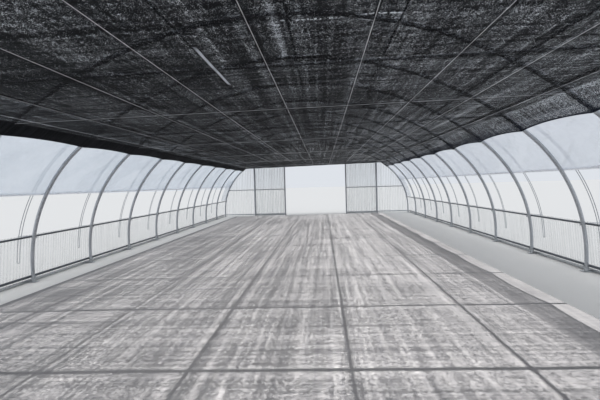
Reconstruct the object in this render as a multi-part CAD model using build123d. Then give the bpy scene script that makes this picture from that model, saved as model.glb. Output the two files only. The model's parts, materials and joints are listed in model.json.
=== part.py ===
"""A polytunnel greenhouse, 9 m wide and 24 m long, with roll-up sides and a shade net ceiling.

Millimetres. +Z is up, +Y runs along the tunnel, and the origin is at the middle of the
ground that it covers. Tubes are drawn solid, because their ends are capped.
"""

import os
from math import acos, asin, atan2, cos, degrees, hypot, radians, sin, sqrt, tan

from build123d import *

# The tunnel as a whole
BAYS = 12
BAY = 2000.0
HALF_SPAN = 4500.0
APEX = 3540.0
FIT = 0.3

# The hoops: straight legs, a shoulder arc on each side and one flatter roof arc
HOOP_R = 30.0
SHOULDER_R = 2560.0
SHOULDER_Z = 270.0

# The feet
PLATE = 140.0
PLATE_T = 6.0
SOCKET_WALL = 4.0
SOCKET_TOP = 50.0
ANCHOR_HOLE_R = 7.0
ANCHOR_SPACING = 104.0

# Rails outside the hoops, and purlins under the roof
SIDE_RAIL_R = 17.0
SIDE_RAIL_Z = 750.0
BASE_RAIL_R = 21.0
BASE_RAIL_Z = 90.0
PURLIN_R = 16.0
PURLIN_SPACING = 1310.0
PURLIN_TO_HIP = 625.0

# Twin-wall sheets
SHEET = 10.0
SIDE_SHEET_TOP = 792.0
SHEET_BOTTOM = 10.0
CHANNEL_WALL = 2.5
CHANNEL_HEIGHT = 40.0

# The roof film, the roll-up side curtains and the fixed film of the end bays
HIP_Z = 2560.0
HIP_WIDTH = 50.0
HIP_DEPTH = 15.0
HIP_WALL = 2.5
FILM = 3.0
CURTAIN = 2.4
CURTAIN_LEFT_Z = 1440.0
CURTAIN_RIGHT_Z = 1596.0
CURTAIN_END = 60.0
ROLL_R = 25.0
ROLL_TUBE_R = 13.5
END_FILM_LENGTH = 1100.0
END_FILM_BOTTOM_Z = 800.0
END_FILM_TOP_Z = 1760.0

# The hairpin guides outside the curtains
GUIDE_R = 6.0
GUIDE_GAP_LOW = 240.0
GUIDE_GAP_MIDDLE = 211.0
GUIDE_GAP_TOP = 79.0
GUIDE_SPREAD = 70.0
GUIDE_BOTTOM_Z = 350.0
BRACKET_T = 5.0
BRACKET_Z = 765.0
BRACKET_LIP = 4.0

# The shade net, and the wires and bars that carry it
NET_LEFT_Z = 2350.0
NET_RIGHT_Z = 2480.0
NET = 3.0
NET_END = 60.0
SKIRT_LEFT_Z = 2206.0
SKIRT_RIGHT_Z = 2233.0
NOTCH = 14.0
WIRE_R = 2.0
TIE_R = 12.5
LONG_WIRES = (-3150.0, -2480.0, -1580.0, -830.0, -30.0, 690.0, 1420.0, 2130.0, 2950.0)

# The end walls
POST = 60.0
JAMB_X = 1500.0
OUTER_POST_X = 3000.0
DOOR_HEIGHT = 2500.0
RAIL = 40.0
MID_RAIL_Z = 1295.0
LOW_RAIL_Z = 90.0
ARCH_STRIP = 40.0
ARCH_STRIP_T = 10.0
ARCH_STRIP_BOTTOM_Z = 850.0

# The sliding doors
LEAF_WIDTH = 1500.0
LEAF_FLOOR_GAP = 20.0
LEAF_TUBE = 40.0
LEAF_CLEARANCE = 10.0
TRACK_T = 8.0
TRACK_HEIGHT = 40.0
TRACK_RISE = 30.0
TRACK_OVERHANG = 45.0
TRACK_STUD_R = 12.0
TRACK_STUDS = 9
HANGER_T = 8.0
HANGER_WIDTH = 60.0
HANGER_INSET = 200.0
HANGER_GAP = 6.0
HANGER_TOP = 20.0
ROLLER_R = 28.0
ROLLER_WIDTH = 14.0
AXLE_R = 8.0
GUIDE_PLATE_T = 5.0
GUIDE_FLANGE_Z = 60.0
GUIDE_RUNNING_GAP = 6.0
PULL_LENGTH = 220.0
PULL_BAR = 16.0
PULL_STAND = 34.0
PULL_Z = 1080.0

# The woven ground cover
MAT_LEFT_GAP = 530.0
MAT_RIGHT_GAP = 1280.0
MAT = 3.0

# Worked out from the sizes above
HALF_LENGTH = BAYS * BAY / 2
HOOP_YS = [i * BAY - HALF_LENGTH for i in range(BAYS + 1)]
END_FACE = HALF_LENGTH + HOOP_R
SHOULDER_X = HALF_SPAN - SHOULDER_R
RISE = APEX - SHOULDER_Z
ROOF_R = (SHOULDER_X**2 + RISE**2 - SHOULDER_R**2) / (2 * (RISE - SHOULDER_R))
ROOF_Z = APEX - ROOF_R
MEET = degrees(atan2(SHOULDER_Z - ROOF_Z, SHOULDER_X))
OUTSIDE = HOOP_R + FIT
CURTAIN_OFFSET = OUTSIDE + CURTAIN + FIT
SHEET_FACE = END_FACE + FIT + SHEET


def angle_at(z, offset=0.0):
    """Angle in degrees, on the right-hand side, where the arcs moved out by offset have height z."""
    lean = (z - SHOULDER_Z) / (SHOULDER_R + offset)
    if lean <= sin(radians(MEET)):
        return degrees(asin(lean))
    return degrees(asin((z - ROOF_Z) / (ROOF_R + offset)))


def point_at(angle, offset=0.0):
    """(x, z) on the right-hand side of the arcs moved out by offset."""
    a = radians(angle)
    if angle <= MEET:
        return SHOULDER_X + (SHOULDER_R + offset) * cos(a), SHOULDER_Z + (SHOULDER_R + offset) * sin(a)
    return (ROOF_R + offset) * cos(a), ROOF_Z + (ROOF_R + offset) * sin(a)


def x_at(z, offset=0.0):
    """Distance from the middle of the hoop's line, moved out by offset, at height z."""
    return HALF_SPAN + offset if z <= SHOULDER_Z else point_at(angle_at(z, offset), offset)[0]


def circle_through(a, b, c):
    """Centre and radius of the circle through three (x, z) points."""
    turn = 2 * (a[0] * (b[1] - c[1]) + b[0] * (c[1] - a[1]) + c[0] * (a[1] - b[1]))
    far = [x**2 + z**2 for x, z in (a, b, c)]
    x = (far[0] * (b[1] - c[1]) + far[1] * (c[1] - a[1]) + far[2] * (a[1] - b[1])) / turn
    z = (far[0] * (c[0] - b[0]) + far[1] * (a[0] - c[0]) + far[2] * (b[0] - a[0])) / turn
    return (x, z), hypot(a[0] - x, a[1] - z)


def across(angle, x, z):
    """A plane square to an arc: its X points out from the arc's centre and its Y along the tunnel."""
    a = radians(angle)
    return Plane(origin=(x, 0, z), x_dir=(cos(a), 0, sin(a)), z_dir=(-sin(a), 0, cos(a)))


def bend(profile, centre, radius, start, stop):
    """The profile turned about a centre in the XZ plane, from one angle to another."""
    a = radians(start)
    plane = across(start, centre[0] + radius * cos(a), centre[1] + radius * sin(a))
    axis = Axis((centre[0], 0, centre[1]), (0, -1, 0))
    return revolve(plane * profile, axis=axis, revolution_arc=stop - start)


def along_arcs(profile, start, stop, offset=0.0):
    """The profile carried along the hoop's arcs between two angles; 90 is the ridge."""
    pieces = []
    if start < MEET:
        pieces.append(bend(profile, (SHOULDER_X, SHOULDER_Z), SHOULDER_R + offset, start, min(stop, MEET)))
    if stop > MEET and start < 180 - MEET:
        low, high = max(start, MEET), min(stop, 180 - MEET)
        pieces.append(bend(profile, (0, ROOF_Z), ROOF_R + offset, low, high))
    if stop > 180 - MEET:
        low = max(start, 180 - MEET)
        pieces.append(bend(profile, (-SHOULDER_X, SHOULDER_Z), SHOULDER_R + offset, low, stop))
    whole = pieces[0]
    for piece in pieces[1:]:
        whole += piece
    return whole


def rod(radius, length, x, z):
    """A straight round bar along the tunnel, with its middle at y = 0."""
    plane = Plane(origin=(x, -length / 2, z), x_dir=(1, 0, 0), z_dir=(0, 1, 0))
    return extrude(plane * Circle(radius), amount=length)


def block(low, high):
    """A box given by its lowest and highest corners."""
    size = [high[i] - low[i] for i in range(3)]
    middle = [(high[i] + low[i]) / 2 for i in range(3)]
    return Pos(*middle) * Box(*size)


def mirrored(shape):
    """The same piece on the other side of the tunnel."""
    return mirror(shape, about=Plane.YZ)


def other_end(shape):
    """The same piece at the tunnel's other end."""
    return mirror(shape, about=Plane.XZ)


def all_corners(shape):
    return [shape, mirrored(shape), other_end(shape), other_end(mirrored(shape))]


def at_hoops(shape, places):
    """A copy of the shape at each of the places along the tunnel."""
    return [Pos(0, y, 0) * shape for y in places]


def save(name, shapes):
    solids = [s for shape in shapes for s in shape.solids()]
    whole = solids[0] if len(solids) == 1 else Compound(children=solids)
    export_step(whole, f"parts/{name}.step")


# The hoops, each from foot to foot
def hoop(radius, bottom):
    leg = Pos(HALF_SPAN, 0, (bottom + SHOULDER_Z) / 2) * Cylinder(radius, SHOULDER_Z - bottom)
    return along_arcs(Circle(radius), 0, 180) + leg + mirrored(leg)


# A foot is a plate with two anchor holes, and a socket that holds the leg
def foot():
    half = PLATE / 2
    bore = HOOP_R + FIT
    plate = block((HALF_SPAN - half, -half, 0), (HALF_SPAN + half, half, PLATE_T))
    ring = Circle(bore + SOCKET_WALL) - Circle(bore)
    plate += Pos(HALF_SPAN, 0, PLATE_T) * extrude(ring, amount=SOCKET_TOP - PLATE_T)
    for side in (-1, 1):
        plate -= Pos(HALF_SPAN, side * ANCHOR_SPACING / 2, 0) * Cylinder(ANCHOR_HOLE_R, PLATE_T * 4)
    return plate


def frame():
    save("hoops", at_hoops(hoop(HOOP_R, PLATE_T + FIT), HOOP_YS))
    save("foot_plates", at_hoops(foot(), HOOP_YS) + at_hoops(mirrored(foot()), HOOP_YS))


def rail_centre(z, rail_r, side=1):
    """Where a rail at height z lies against the hoops, outside them, or inside them if side is -1."""
    offset = side * (OUTSIDE + rail_r)
    return (HALF_SPAN + offset, z) if z <= SHOULDER_Z else point_at(angle_at(z), offset)


def rails():
    length = 2 * END_FACE
    side = rod(SIDE_RAIL_R, length, *rail_centre(SIDE_RAIL_Z, SIDE_RAIL_R))
    base = rod(BASE_RAIL_R, length, *rail_centre(BASE_RAIL_Z, BASE_RAIL_R))
    save("side_rail_left", [mirrored(side)])
    save("side_rail_right", [side])
    save("base_rail_left", [mirrored(base)])
    save("base_rail_right", [base])
    inner = degrees(acos(PURLIN_SPACING / ROOF_R))
    outer = angle_at(HIP_Z) + degrees(PURLIN_TO_HIP / ROOF_R)
    purlins = [rod(PURLIN_R, length, *point_at(angle, -OUTSIDE - PURLIN_R)) for angle in (inner, outer)]
    save("roof_purlins", purlins + [mirrored(p) for p in purlins])
    save("ridge_purlin", [rod(PURLIN_R, length, *rail_centre(APEX, PURLIN_R, -1))])


# The twin-wall sheets of the low side walls lean in from the base rail to the side rail
def side_walls():
    low = rail_centre(BASE_RAIL_Z, BASE_RAIL_R)
    high = rail_centre(SIDE_RAIL_Z, SIDE_RAIL_R)
    reach = hypot(high[0] - low[0], high[1] - low[1])
    lean = atan2(high[1] - low[1], high[0] - low[0]) + asin((BASE_RAIL_R - SIDE_RAIL_R) / reach)
    touch = BASE_RAIL_R + FIT
    foot_x = low[0] + touch * sin(lean)
    foot_z = low[1] - touch * cos(lean)
    plane = Plane(origin=(foot_x, 0, foot_z), x_dir=(sin(lean), 0, -cos(lean)), z_dir=(cos(lean), 0, sin(lean)))
    start = (SHEET_BOTTOM - foot_z) / sin(lean)
    stop = (SIDE_SHEET_TOP - foot_z) / sin(lean)
    profile = plane.offset(start) * Pos(SHEET / 2, 0) * Rectangle(SHEET, 2 * END_FACE)
    sheet = extrude(profile, amount=stop - start)
    save("side_sheets_left", [mirrored(sheet)])
    save("side_sheets_right", [sheet])
    drift = (CHANNEL_HEIGHT - SHEET_BOTTOM) / 2 / tan(lean)
    middle = foot_x + SHEET / 2 * sin(lean) + (SHEET_BOTTOM + CHANNEL_HEIGHT - 2 * foot_z) / 2 / tan(lean)
    slot = SHEET / 2 + FIT + abs(drift)
    wall = slot + CHANNEL_WALL
    channel = block((middle - wall, -END_FACE, 0), (middle + wall, END_FACE, CHANNEL_HEIGHT))
    inside = (END_FACE + CHANNEL_WALL, CHANNEL_HEIGHT + CHANNEL_WALL)
    channel -= block((middle - slot, -inside[0], CHANNEL_WALL), (middle + slot, inside[0], inside[1]))
    save("sill_channels", [channel, mirrored(channel)])


def strip(thickness, length, start, stop, offset, middle=0.0):
    """A strip that follows the outside of the hoops' arcs between two angles."""
    return Pos(0, middle, 0) * along_arcs(Rectangle(thickness, length), start, stop, offset + thickness / 2)


HIP = angle_at(HIP_Z)
HIP_R = ROOF_R if HIP > MEET else SHOULDER_R
HIP_HALF = degrees((HIP_WIDTH / 2 + FIT) / HIP_R)


# The channels that grip the roof film's edges
def hip_rail():
    x, z = point_at(HIP, OUTSIDE)
    a = radians(HIP)
    plane = Plane(origin=(x, 0, z), x_dir=(cos(a), 0, sin(a)), z_dir=(0, 1, 0))
    section = Pos(HIP_DEPTH / 2, 0) * Rectangle(HIP_DEPTH, HIP_WIDTH)
    section -= Pos(HIP_DEPTH / 2 + HIP_WALL, 0) * Rectangle(HIP_DEPTH, HIP_WIDTH - 2 * HIP_WALL)
    return extrude(plane * section, amount=HALF_LENGTH - ARCH_STRIP / 2 - FIT, both=True)


def curtain(bottom):
    """The curtain as far as its roll, and the roll: film wound on a tube."""
    low = angle_at(bottom)
    half = HALF_LENGTH - CURTAIN_END
    x, z = point_at(low, CURTAIN_OFFSET + CURTAIN + FIT + ROLL_R)
    roll = rod(ROLL_R, 2 * half, x, z) + rod(ROLL_TUBE_R, 2 * END_FACE, x, z)
    return strip(CURTAIN, 2 * half, low, HIP - HIP_HALF, CURTAIN_OFFSET), roll


def film():
    save("roof_film", [strip(FILM, 2 * END_FACE, HIP + HIP_HALF, 180 - HIP - HIP_HALF, OUTSIDE)])
    save("hip_rails", [hip_rail(), mirrored(hip_rail())])
    left, left_roll = curtain(CURTAIN_LEFT_Z)
    right, right_roll = curtain(CURTAIN_RIGHT_Z)
    save("side_curtain_left", [mirrored(left)])
    save("side_curtain_right", [right])
    save("curtain_roll_left", [mirrored(left_roll)])
    save("curtain_roll_right", [right_roll])
    low, high = angle_at(END_FILM_BOTTOM_Z), angle_at(END_FILM_TOP_Z)
    fixed = strip(CURTAIN, END_FILM_LENGTH, low, high, OUTSIDE, END_FACE - END_FILM_LENGTH / 2)
    save("end_bay_films", all_corners(fixed))
    first = angle_at(ARCH_STRIP_BOTTOM_Z)
    cap = strip(ARCH_STRIP_T, ARCH_STRIP, first, 180 - first, OUTSIDE + FILM + FIT, HALF_LENGTH)
    save("arch_strips", [cap, other_end(cap)])


# Hairpins outside each hoop keep the rolled curtain from blowing out
def hairpin():
    foot = x_at(GUIDE_BOTTOM_Z) + GUIDE_GAP_LOW, GUIDE_BOTTOM_Z
    tip = point_at(HIP, GUIDE_GAP_TOP)
    centre, radius = circle_through(foot, point_at(HIP / 2, GUIDE_GAP_MIDDLE), tip)
    low, high = [degrees(atan2(z - centre[1], x - centre[0])) for x, z in (foot, tip)]
    half = GUIDE_SPREAD / 2
    right, left = [bend(Pos(0, y) * Circle(GUIDE_R), centre, radius, low, high) for y in (half, -half)]
    axis = Axis((foot[0], 0, foot[1]), (cos(radians(low)), 0, sin(radians(low))))
    turn = revolve(across(low, *foot) * Pos(0, half) * Circle(GUIDE_R), axis=axis, revolution_arc=-180)
    width = half + GUIDE_R + BRACKET_LIP
    lip = GUIDE_R + BRACKET_LIP
    seat = OUTSIDE + HIP_WALL + FIT
    reach = GUIDE_GAP_TOP - seat + lip
    top = across(HIP, *point_at(HIP, seat)) * Pos(reach / 2, 0) * Box(reach, 2 * width, BRACKET_T)
    wall = rail_centre(SIDE_RAIL_Z, SIDE_RAIL_R)[0] + SIDE_RAIL_R + FIT + SHEET + FIT
    rods_x = centre[0] + sqrt(radius**2 - (BRACKET_Z - centre[1]) ** 2)
    arm = block((wall, -width, BRACKET_Z), (rods_x + lip, width, BRACKET_Z + BRACKET_T))
    return right + left + turn + top + arm


def guides():
    places = HOOP_YS[1:-1]
    save("curtain_guides_left", at_hoops(mirrored(hairpin()), places))
    save("curtain_guides_right", at_hoops(hairpin(), places))


# The net's plane is a little higher on the right than on the left
NET_MIDDLE = (NET_LEFT_Z + NET_RIGHT_Z) / 2
NET_SLOPE = (NET_RIGHT_Z - NET_LEFT_Z) / (2 * x_at(NET_MIDDLE))
NET_PLANE = Plane(origin=(0, 0, NET_MIDDLE), x_dir=(1, 0, NET_SLOPE), z_dir=(-NET_SLOPE, 0, 1))
NET_LIFT = WIRE_R + FIT
BAR_LIFT = NET_LIFT + NET + FIT + TIE_R
WIRE_DROP = -2 * WIRE_R - FIT
END_BAR_Y = HALF_LENGTH - HOOP_R - FIT - TIE_R


def net_point(side, lift, offset):
    """Where a line lifted from the net's plane meets the hoop's line moved out by offset."""
    x = side * HALF_SPAN
    for _ in range(40):
        x = side * x_at(NET_MIDDLE + lift + NET_SLOPE * x, offset)
    return Vector(x, 0, NET_MIDDLE + lift + NET_SLOPE * x)


def crossing(lift, radius, offset):
    """A straight wire or bar across the tunnel, square at its ends."""
    start, stop = net_point(-1, lift, offset), net_point(1, lift, offset)
    line = Plane(origin=start, x_dir=(0, 1, 0), z_dir=stop - start)
    return extrude(line * Circle(radius), amount=(stop - start).length)


def net_frame():
    clear = hoop(HOOP_R + FIT, 0)
    wire = (crossing(WIRE_DROP, WIRE_R, 0) - clear).solids().sort_by(SortBy.VOLUME)[-1]
    bar = (crossing(BAR_LIFT, TIE_R, 0) - clear).solids().sort_by(SortBy.VOLUME)[-1]
    end_bar = Pos(0, END_BAR_Y, 0) * crossing(0, TIE_R, 0)
    save("cross_wires", at_hoops(wire, HOOP_YS[1::2]))
    save("tie_bars", at_hoops(bar, HOOP_YS[2:-1:2]))
    save("end_tie_bars", [end_bar, other_end(end_bar)])
    reach = END_BAR_Y - TIE_R - FIT
    edge = net_point(1, 0, -OUTSIDE - NET).X - WIRE_R
    wires = [x for x in LONG_WIRES if abs(x) < edge]
    save("long_wires", [rod(WIRE_R, 2 * reach, x, NET_MIDDLE + NET_SLOPE * x) for x in wires])


def net():
    lift = NET_LIFT + NET / 2
    gap = -(OUTSIDE + NET)
    half = HALF_LENGTH - NET_END
    edges = [net_point(side, lift, gap) for side in (-1, 1)]
    line = Plane(origin=edges[0], x_dir=(0, 1, 0), z_dir=edges[1] - edges[0])
    whole = extrude(line * Rectangle(2 * half, NET), amount=(edges[1] - edges[0]).length)
    for side, edge, bottom in ((-1, edges[0], SKIRT_LEFT_Z), (1, edges[1], SKIRT_RIGHT_Z)):
        run = Vector(side * x_at(bottom, gap), 0, bottom) - edge
        skirt = Plane(origin=edge, x_dir=(0, 1, 0), z_dir=run)
        whole += extrude(skirt * Rectangle(2 * half, NET), amount=run.length)
        spot = net_point(side, WIRE_DROP, gap)
        for y in HOOP_YS[1::2]:
            whole -= Pos(spot.X, y, spot.Z) * Box(PLATE, NOTCH, NOTCH - NET)
    save("shade_net", [whole])


def arch_sheet(near, far):
    """The whole end of the tunnel as one sheet between two distances along it."""
    foot_x = HALF_SPAN + HOOP_R
    bend_x, bend_z = point_at(MEET, HOOP_R)
    mid_x, mid_z = point_at(MEET / 2, HOOP_R)
    outline = [
        Line((foot_x, 0, SHEET_BOTTOM), (foot_x, 0, SHOULDER_Z)),
        ThreePointArc((foot_x, 0, SHOULDER_Z), (mid_x, 0, mid_z), (bend_x, 0, bend_z)),
        ThreePointArc((bend_x, 0, bend_z), (0, 0, APEX + HOOP_R), (-bend_x, 0, bend_z)),
        ThreePointArc((-bend_x, 0, bend_z), (-mid_x, 0, mid_z), (-foot_x, 0, SHOULDER_Z)),
        Line((-foot_x, 0, SHOULDER_Z), (-foot_x, 0, SHEET_BOTTOM)),
        Line((-foot_x, 0, SHEET_BOTTOM), (foot_x, 0, SHEET_BOTTOM)),
    ]
    return Pos(0, near, 0) * extrude(make_face(outline), amount=far - near, dir=(0, 1, 0))


def end_frame():
    clear = Pos(0, HALF_LENGTH, 0) * hoop(HOOP_R + FIT, 0)
    half = POST / 2
    inner = HALF_LENGTH - half
    pieces = []
    for x in (JAMB_X, OUTER_POST_X):
        post = block((x - half, inner, 0), (x + half, inner + POST, APEX)) - clear
        pieces += all_corners(post.solids().sort_by(Axis.Z)[0])
    save("end_posts", pieces)
    mid = RAIL / 2
    spans = (JAMB_X + half + FIT, OUTER_POST_X - half - FIT), (OUTER_POST_X + half + FIT, HALF_SPAN)
    pieces = []
    for z in (LOW_RAIL_Z, MID_RAIL_Z):
        for start, stop in spans:
            rail = block((start, HALF_LENGTH - mid, z - mid), (stop, HALF_LENGTH + mid, z + mid)) - clear
            pieces += all_corners(rail.solids().sort_by(Axis.X)[0])
    save("end_rails", pieces)
    beside = block((spans[0][0], inner, DOOR_HEIGHT), (spans[0][1], inner + POST, DOOR_HEIGHT + POST)) - clear
    beside = beside.solids().sort_by(Axis.X)[0]
    gap = JAMB_X - half - FIT
    lintel = block((-gap, inner, DOOR_HEIGHT), (gap, inner + POST, DOOR_HEIGHT + POST))
    save("door_lintels", all_corners(beside) + [lintel, other_end(lintel)])


def end_walls():
    near, far = END_FACE + FIT, SHEET_FACE
    sheet = arch_sheet(near, far)
    socket = HOOP_R + FIT + SOCKET_WALL + FIT
    sheet -= block((HALF_SPAN - socket, near, 0), (HALF_SPAN + socket, far, SOCKET_TOP + FIT))
    side = sheet & block((JAMB_X, near, 0), (HALF_SPAN + PLATE, far, APEX))
    head = sheet & block((FIT - JAMB_X, near, DOOR_HEIGHT), (JAMB_X - FIT, far, APEX + PLATE))
    save("end_wall_sides", all_corners(side))
    save("end_wall_heads", [head, other_end(head)])


# The doors hang from rollers on a flat bar over the doorway
LEAF_Y = SHEET_FACE + LEAF_CLEARANCE + LEAF_TUBE / 2
TRACK_Z = DOOR_HEIGHT + TRACK_RISE


def track():
    reach = OUTER_POST_X + TRACK_OVERHANG
    half = TRACK_T / 2
    bar = block((-reach, LEAF_Y - half, TRACK_Z), (reach, LEAF_Y + half, TRACK_Z + TRACK_HEIGHT))
    pitch = 2 * OUTER_POST_X / (TRACK_STUDS - 1)
    stud = LEAF_Y - SHEET_FACE - FIT
    for i in range(TRACK_STUDS):
        start = Pos(i * pitch - OUTER_POST_X, LEAF_Y - stud / 2, TRACK_Z + TRACK_HEIGHT / 2)
        bar += start * Rot(90, 0, 0) * Cylinder(TRACK_STUD_R, stud)
    return bar


def floor_guide():
    half = POST / 2
    flange = LEAF_Y + LEAF_TUBE / 2 + GUIDE_RUNNING_GAP
    back = flange + GUIDE_PLATE_T
    plate = block((JAMB_X - half, END_FACE + FIT, 0), (JAMB_X + half, back, GUIDE_PLATE_T))
    return plate + block((JAMB_X - half, flange, 0), (JAMB_X + half, back, GUIDE_FLANGE_Z))


def hanger(x):
    """A strap on the leaf's top tube, with a roller that runs on the bar."""
    face = LEAF_Y + TRACK_T / 2 + HANGER_GAP
    axle_z = TRACK_Z + TRACK_HEIGHT + FIT + ROLLER_R
    half = HANGER_WIDTH / 2
    strap = block((x - half, face, DOOR_HEIGHT), (x + half, face + HANGER_T, axle_z + HANGER_TOP))
    axle = face - LEAF_Y + HANGER_T
    strap += Pos(x, LEAF_Y + axle / 2, axle_z) * Rot(90, 0, 0) * Cylinder(AXLE_R, axle)
    return strap + Pos(x, LEAF_Y, axle_z) * Rot(90, 0, 0) * Cylinder(ROLLER_R, ROLLER_WIDTH)


def pull_handle(x):
    out = LEAF_Y + LEAF_TUBE / 2
    half = PULL_BAR / 2
    low, high = PULL_Z - PULL_LENGTH / 2, PULL_Z + PULL_LENGTH / 2
    handle = block((x - half, out + PULL_STAND - PULL_BAR, low), (x + half, out + PULL_STAND, high))
    for z in (low, high - PULL_BAR):
        handle += block((x - half, out, z), (x + half, out + PULL_STAND, z + PULL_BAR))
    return handle


def door_leaf():
    half = LEAF_TUBE / 2
    start, stop = JAMB_X, JAMB_X + LEAF_WIDTH
    whole = block((start, LEAF_Y - half, LEAF_FLOOR_GAP), (stop, LEAF_Y + half, DOOR_HEIGHT))
    panes = []
    bays = (LEAF_FLOOR_GAP + LEAF_TUBE, MID_RAIL_Z - half), (MID_RAIL_Z + half, DOOR_HEIGHT - LEAF_TUBE)
    for low, high in bays:
        whole -= block((start + LEAF_TUBE, LEAF_Y - half, low), (stop - LEAF_TUBE, LEAF_Y + half, high))
        inset = LEAF_TUBE + FIT
        corners = (start + inset, LEAF_Y - SHEET / 2, low + FIT), (stop - inset, LEAF_Y + SHEET / 2, high - FIT)
        panes.append(block(*corners))
    for x in (start + HANGER_INSET, stop - HANGER_INSET):
        whole += hanger(x)
    return whole + pull_handle(start + half), panes


def doors():
    save("door_tracks", [track(), other_end(track())])
    save("door_guides", all_corners(floor_guide()))
    leaf, panes = door_leaf()
    ends = ("far", lambda shape: shape), ("near", other_end)
    sides = ("right", lambda shape: shape), ("left", mirrored)
    for end, turn_end in ends:
        for side, turn_side in sides:
            save(f"door_frame_{end}_{side}", [turn_end(turn_side(leaf))])
            save(f"door_panes_{end}_{side}", [turn_end(turn_side(pane)) for pane in panes])


def ground_cover():
    end = HALF_LENGTH - POST / 2 - FIT
    left, right = MAT_LEFT_GAP - HALF_SPAN, HALF_SPAN - MAT_RIGHT_GAP
    save("ground_cover", [block((left, -end, 0), (right, end, MAT))])


os.makedirs("parts", exist_ok=True)
frame()
rails()
side_walls()
film()
guides()
net_frame()
net()
end_frame()
end_walls()
doors()
ground_cover()
print("roof radius", round(ROOF_R), "arcs meet at", round(MEET, 1), "degrees")
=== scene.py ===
# %% [markdown]
# # A polytunnel greenhouse
#
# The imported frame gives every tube, sheet, door and wire in its true place. This
# script gives them their looks. It swaps the plain sheets of film, net and ground
# cover for creased ones, adds the clamps, screws and spring wires that are too small
# for the frame, and sets up the light and the camera.

# %% Tools
import json
from math import atan2, cos, pi, radians, sin

import bpy
import numpy as np
from mathutils import Matrix, Vector


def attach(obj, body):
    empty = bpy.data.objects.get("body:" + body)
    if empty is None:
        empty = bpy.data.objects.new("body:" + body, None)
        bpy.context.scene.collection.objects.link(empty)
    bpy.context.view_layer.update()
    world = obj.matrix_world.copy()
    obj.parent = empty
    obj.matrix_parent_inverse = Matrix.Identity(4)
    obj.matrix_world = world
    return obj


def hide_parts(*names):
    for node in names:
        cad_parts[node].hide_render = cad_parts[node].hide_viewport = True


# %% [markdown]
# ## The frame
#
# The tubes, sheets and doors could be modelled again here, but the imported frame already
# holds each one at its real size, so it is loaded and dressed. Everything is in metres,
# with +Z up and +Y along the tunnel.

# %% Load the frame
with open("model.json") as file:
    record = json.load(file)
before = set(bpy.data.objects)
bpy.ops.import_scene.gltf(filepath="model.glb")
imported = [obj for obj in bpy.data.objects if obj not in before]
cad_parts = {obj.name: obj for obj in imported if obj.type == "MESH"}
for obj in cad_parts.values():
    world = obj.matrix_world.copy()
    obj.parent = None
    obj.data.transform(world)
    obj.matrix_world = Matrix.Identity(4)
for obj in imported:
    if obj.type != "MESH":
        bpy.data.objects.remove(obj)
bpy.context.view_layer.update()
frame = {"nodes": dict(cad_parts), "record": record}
nodes = frame["nodes"]

# %% [markdown]
# ## The hoop's line
#
# A hoop has straight legs, then an arc at each shoulder, then one flatter arc over
# the top, and the film, the net and the clamps all follow it. The line could be traced
# as a list of points. Arcs are used instead, because four sizes then say all of it and
# any height has an exact angle. The shoulder arcs are centred inside the legs at a low
# height. The roof arc's centre is on the middle line, and its radius follows from the
# ridge height, because the arcs have one tangent where they meet.

# %% Sizes of the tunnel
BAY = 2.0
HALF_LENGTH = 12.0
HALF_SPAN = 4.5
APEX = 3.54
SHOULDER_R = 2.56
SHOULDER_Z = 0.27
OUTSIDE = 0.0303
END_FACE = 12.030
HOOP_YS = np.arange(-HALF_LENGTH, HALF_LENGTH + 0.1, BAY)

SHOULDER_X = HALF_SPAN - SHOULDER_R
RISE = APEX - SHOULDER_Z
ROOF_R = (SHOULDER_X**2 + RISE**2 - SHOULDER_R**2) / (2 * (RISE - SHOULDER_R))
ROOF_Z = APEX - ROOF_R
MEET = atan2(SHOULDER_Z - ROOF_Z, SHOULDER_X)


def angle_at(z, offset=0.0):
    """Angle on the right where the hoop's line, moved out by offset, has height z.

    On the shoulder sin(angle) = (z - SHOULDER_Z) / (SHOULDER_R + offset), and on the
    roof arc sin(angle) = (z - ROOF_Z) / (ROOF_R + offset).
    """
    shoulder = np.arcsin(np.clip((z - SHOULDER_Z) / (SHOULDER_R + offset), -1, 1))
    roof = np.arcsin(np.clip((z - ROOF_Z) / (ROOF_R + offset), -1, 1))
    return float(shoulder if shoulder <= MEET else roof)


def x_at(z, offset=0.0):
    """Distance from the middle where the line, moved out by offset, has height z."""
    return float(arc_points(np.array(angle_at(z, offset)), offset)[0])


def arc_points(angle, offset):
    """(x, z) of the hoop's line moved out by offset, for angles from 0 to pi.

    The left half is the right half mirrored: angle becomes pi - angle and x becomes -x.
    """
    right = angle <= pi / 2
    a = np.where(right, angle, pi - angle)
    low = a <= MEET
    shoulder, roof = SHOULDER_R + offset, ROOF_R + offset
    x = np.where(low, SHOULDER_X + shoulder * np.cos(a), roof * np.cos(a))
    z = np.where(low, SHOULDER_Z + shoulder * np.sin(a), ROOF_Z + roof * np.sin(a))
    return np.where(right, x, -x), z


def arc_angles(start, stop, step):
    """Angles from start to stop whose points lie about step apart along the line."""
    fine = np.linspace(start, stop, 2000)
    x, z = arc_points(fine, 0.0)
    run = np.concatenate([[0], np.cumsum(np.hypot(np.diff(x), np.diff(z)))])
    count = int(round(run[-1] / step)) + 1
    even = np.linspace(0, run[-1], count)
    return np.interp(even, run, fine), even


print("roof radius", round(ROOF_R, 3), "m, arcs meet at", round(np.degrees(MEET), 1), "degrees")

# %% [markdown]
# ## Building materials
#
# A material is a graph of nodes. It could be wired by hand in the Shader Editor, or
# line by line here, but a pattern is easier to read as a formula. So a small class
# wraps a socket, and ordinary arithmetic on it builds Math nodes, also where the number
# comes first, as in 1 - mask.


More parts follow.
